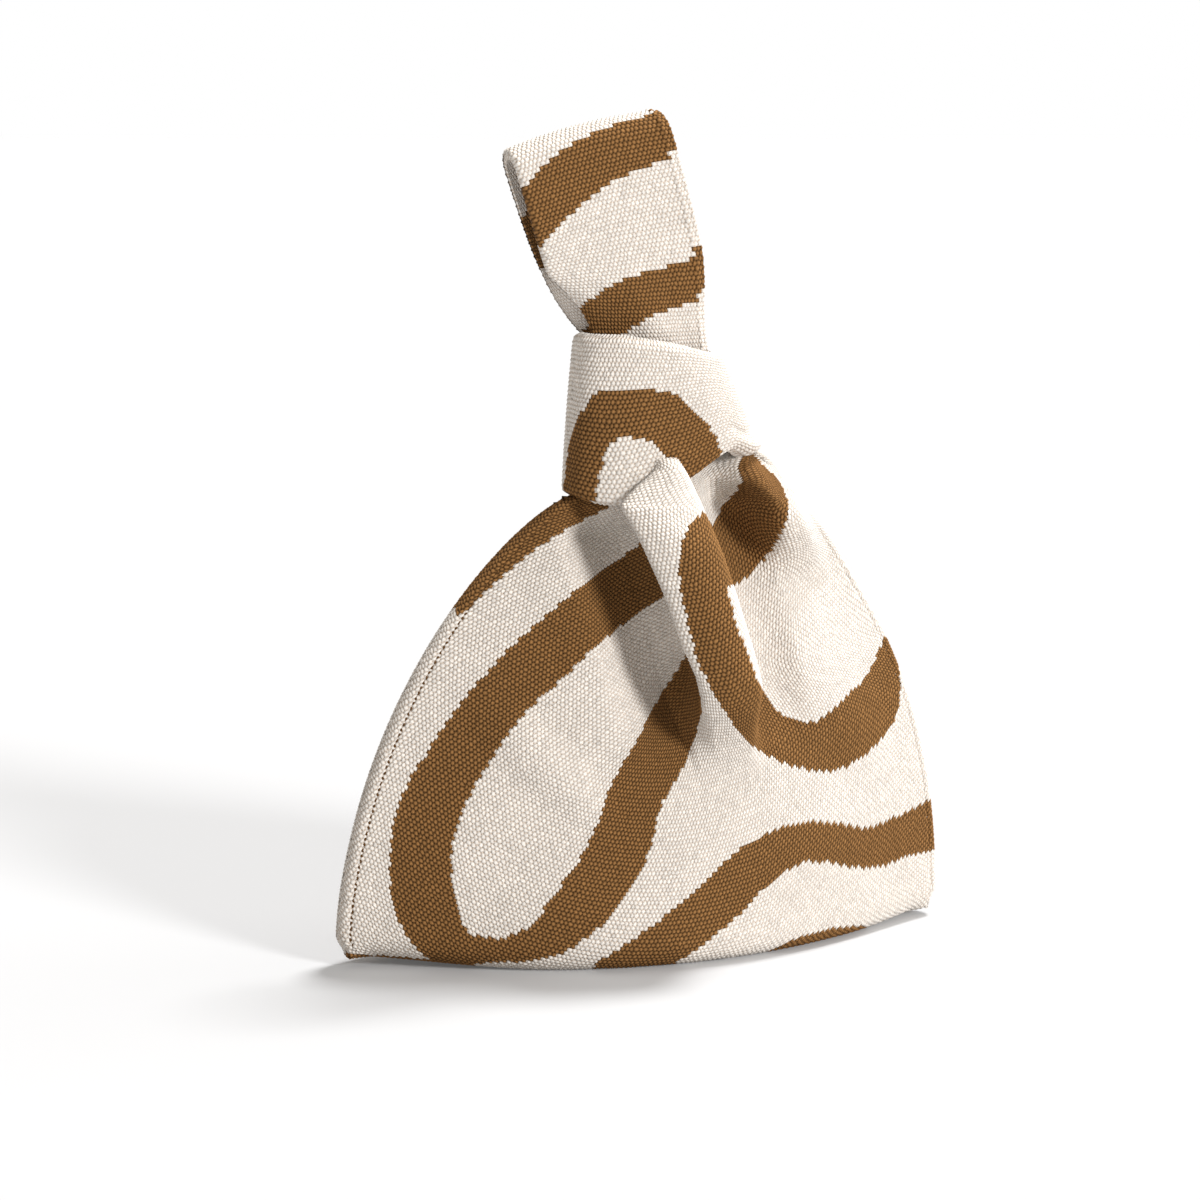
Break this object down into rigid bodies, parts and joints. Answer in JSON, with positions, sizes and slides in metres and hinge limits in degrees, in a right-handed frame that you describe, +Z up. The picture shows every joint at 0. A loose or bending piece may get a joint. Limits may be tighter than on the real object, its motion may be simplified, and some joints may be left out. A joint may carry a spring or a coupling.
{
  "type": "japanese knot bag",
  "caption": "Soft knitted knot bag: a rounded pouch whose long handle is drawn through the short one, which wraps its neck as a band and leaves a flat carrying loop on top.",
  "frame": {"origin": "middle of the bag's box, on the floor under the pouch", "axes": "+Z up from the base to the handle loop, -Y towards the front with the fold, +X to the viewer's right along the width"},
  "size_m": [0.2867, 0.1196, 0.3705],
  "materials": {
    "knit": "matte double knit, cream with broad brown waves",
    "linking_yarn": "matte brown yarn"
  },
  "bodies": {
    "pouch": {"front_panel": "knit", "back_panel": "knit", "left_side_seam": "linking_yarn", "right_side_seam": "knit", "bottom_seam": "linking_yarn", "short_handle_front": "knit", "short_handle_back": "knit", "short_handle_join": "linking_yarn"},
    "handle_tail": {"long_handle_front_tail": "knit", "long_handle_back_tail": "knit"},
    "handle_loop": {"long_handle_front_strap": "knit", "long_handle_back_strap": "knit", "long_handle_front_left_edge": "knit", "long_handle_front_right_edge": "knit", "long_handle_back_left_edge": "knit", "long_handle_back_right_edge": "knit", "long_handle_top_join": "linking_yarn"}
  },
  "joints": [
    {"name": "handle_draw", "type": "slide", "parent": "pouch", "child": "handle_tail", "axis": [-0.309, 0, 0.9511], "range_m": [0, 0.02]},
    {"name": "loop_fold", "type": "hinge", "parent": "handle_tail", "child": "handle_loop", "pos_m": [-0.002, 0, 0.2765], "axis": [1, 0, 0], "range_deg": [-90, 90]}
  ]
}
